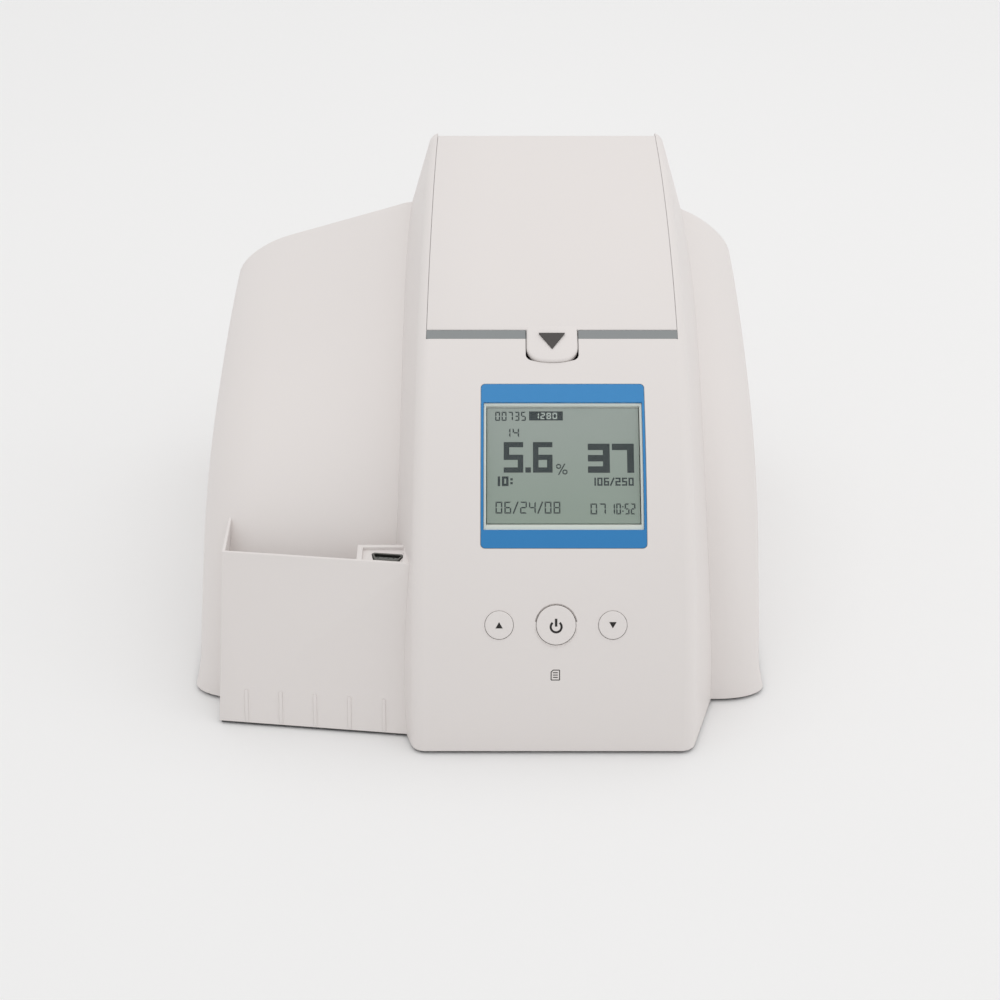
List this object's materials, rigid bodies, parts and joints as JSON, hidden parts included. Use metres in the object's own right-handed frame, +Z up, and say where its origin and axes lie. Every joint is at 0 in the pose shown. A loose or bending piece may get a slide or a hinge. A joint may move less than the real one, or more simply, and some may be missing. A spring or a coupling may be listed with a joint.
{
  "type": "glycohemoglobin analyzer",
  "caption": "Desktop blood analyzer with a curved tower, hinged lid over a cartridge drum, tilted display, press buttons and an open printer bay.",
  "frame": {"origin": "centre of the bounding box's bottom face, on the floor", "axes": "+X to the user's right, +Y from the display's front to the rear sockets and the longest size, +Z up and the shortest size"},
  "size_m": [0.1979, 0.217, 0.138],
  "materials": {
    "warm_white_plastic": "fine satin texture",
    "grey_plastic": "satin",
    "dark_plastic": "satin",
    "blue_film": "smooth printed film",
    "clear_acrylic": "clear",
    "pale_frame": "satin",
    "lcd_glass": "reflective segment display",
    "steel": "brushed",
    "rubber": "matte",
    "silicone": "matte",
    "circuit_board": "solder resist",
    "acetal": "natural"
  },
  "bodies": {
    "base": {"upper_housing": "warm_white_plastic", "bottom_cover": "warm_white_plastic", "hinge_pin": "steel", "deck": "grey_plastic", "drive_motor": "steel", "chassis": "steel", "optical_reader": "dark_plastic", "reader_lens": "clear_acrylic", "display_bezel": "blue_film", "display_window": "clear_acrylic", "lcd_frame": "pale_frame", "lcd_panel": "lcd_glass", "display_board": "circuit_board", "keypad_mat": "silicone", "key_board": "circuit_board", "dock_shell": "steel", "dock_insert": "dark_plastic", "dock_board": "circuit_board", "main_board": "circuit_board", "power_jack": "dark_plastic", "data_port": "steel", "rubber_foot_1": "rubber", "rubber_foot_2": "rubber", "rubber_foot_3": "rubber", "rubber_foot_4": "rubber", "rubber_foot_5": "rubber", "case_screw_1": "steel", "case_screw_2": "steel", "case_screw_3": "steel", "case_screw_4": "steel", "case_screw_5": "steel", "case_screw_6": "steel"},
    "lid": {"lid": "warm_white_plastic", "lid_liner": "grey_plastic"},
    "button_up": {"button_up": "warm_white_plastic"},
    "button_mode": {"button_mode": "warm_white_plastic"},
    "button_down": {"button_down": "warm_white_plastic"},
    "drum": {"cartridge_drum": "dark_plastic", "drum_gear": "acetal", "drum_axle": "steel"},
    "pinion": {"pinion": "acetal", "motor_shaft": "steel"}
  },
  "joints": [
    {"name": "lid_hinge", "type": "hinge", "parent": "base", "child": "lid", "pos_m": [0.025, 0.0965, 0.13], "axis": [-1, 0, 0], "range_deg": [0, 95]},
    {"name": "button_up_press", "type": "slide", "parent": "base", "child": "button_up", "axis": [0, 0.8852, -0.4652], "range_m": [0, 0.0008], "stiffness_N_per_m": 200, "springref_m": -0.002},
    {"name": "button_mode_press", "type": "slide", "parent": "base", "child": "button_mode", "axis": [0, 0.8852, -0.4652], "range_m": [0, 0.0008], "stiffness_N_per_m": 200, "springref_m": -0.002},
    {"name": "button_down_press", "type": "slide", "parent": "base", "child": "button_down", "axis": [0, 0.8852, -0.4652], "range_m": [0, 0.0008], "stiffness_N_per_m": 200, "springref_m": -0.002},
    {"name": "drum_spin", "type": "hinge", "parent": "base", "child": "drum", "pos_m": [0.025, 0.0375, 0.099], "axis": [1, 0, 0], "continuous": true},
    {"name": "pinion_spin", "type": "hinge", "parent": "base", "child": "pinion", "pos_m": [0.0363, 0.0263, 0.0796], "axis": [1, 0, 0], "continuous": true}
  ],
  "couplings": [
    {"joint": "pinion_spin", "follows": "drum_spin", "ratio": -2.5}
  ]
}
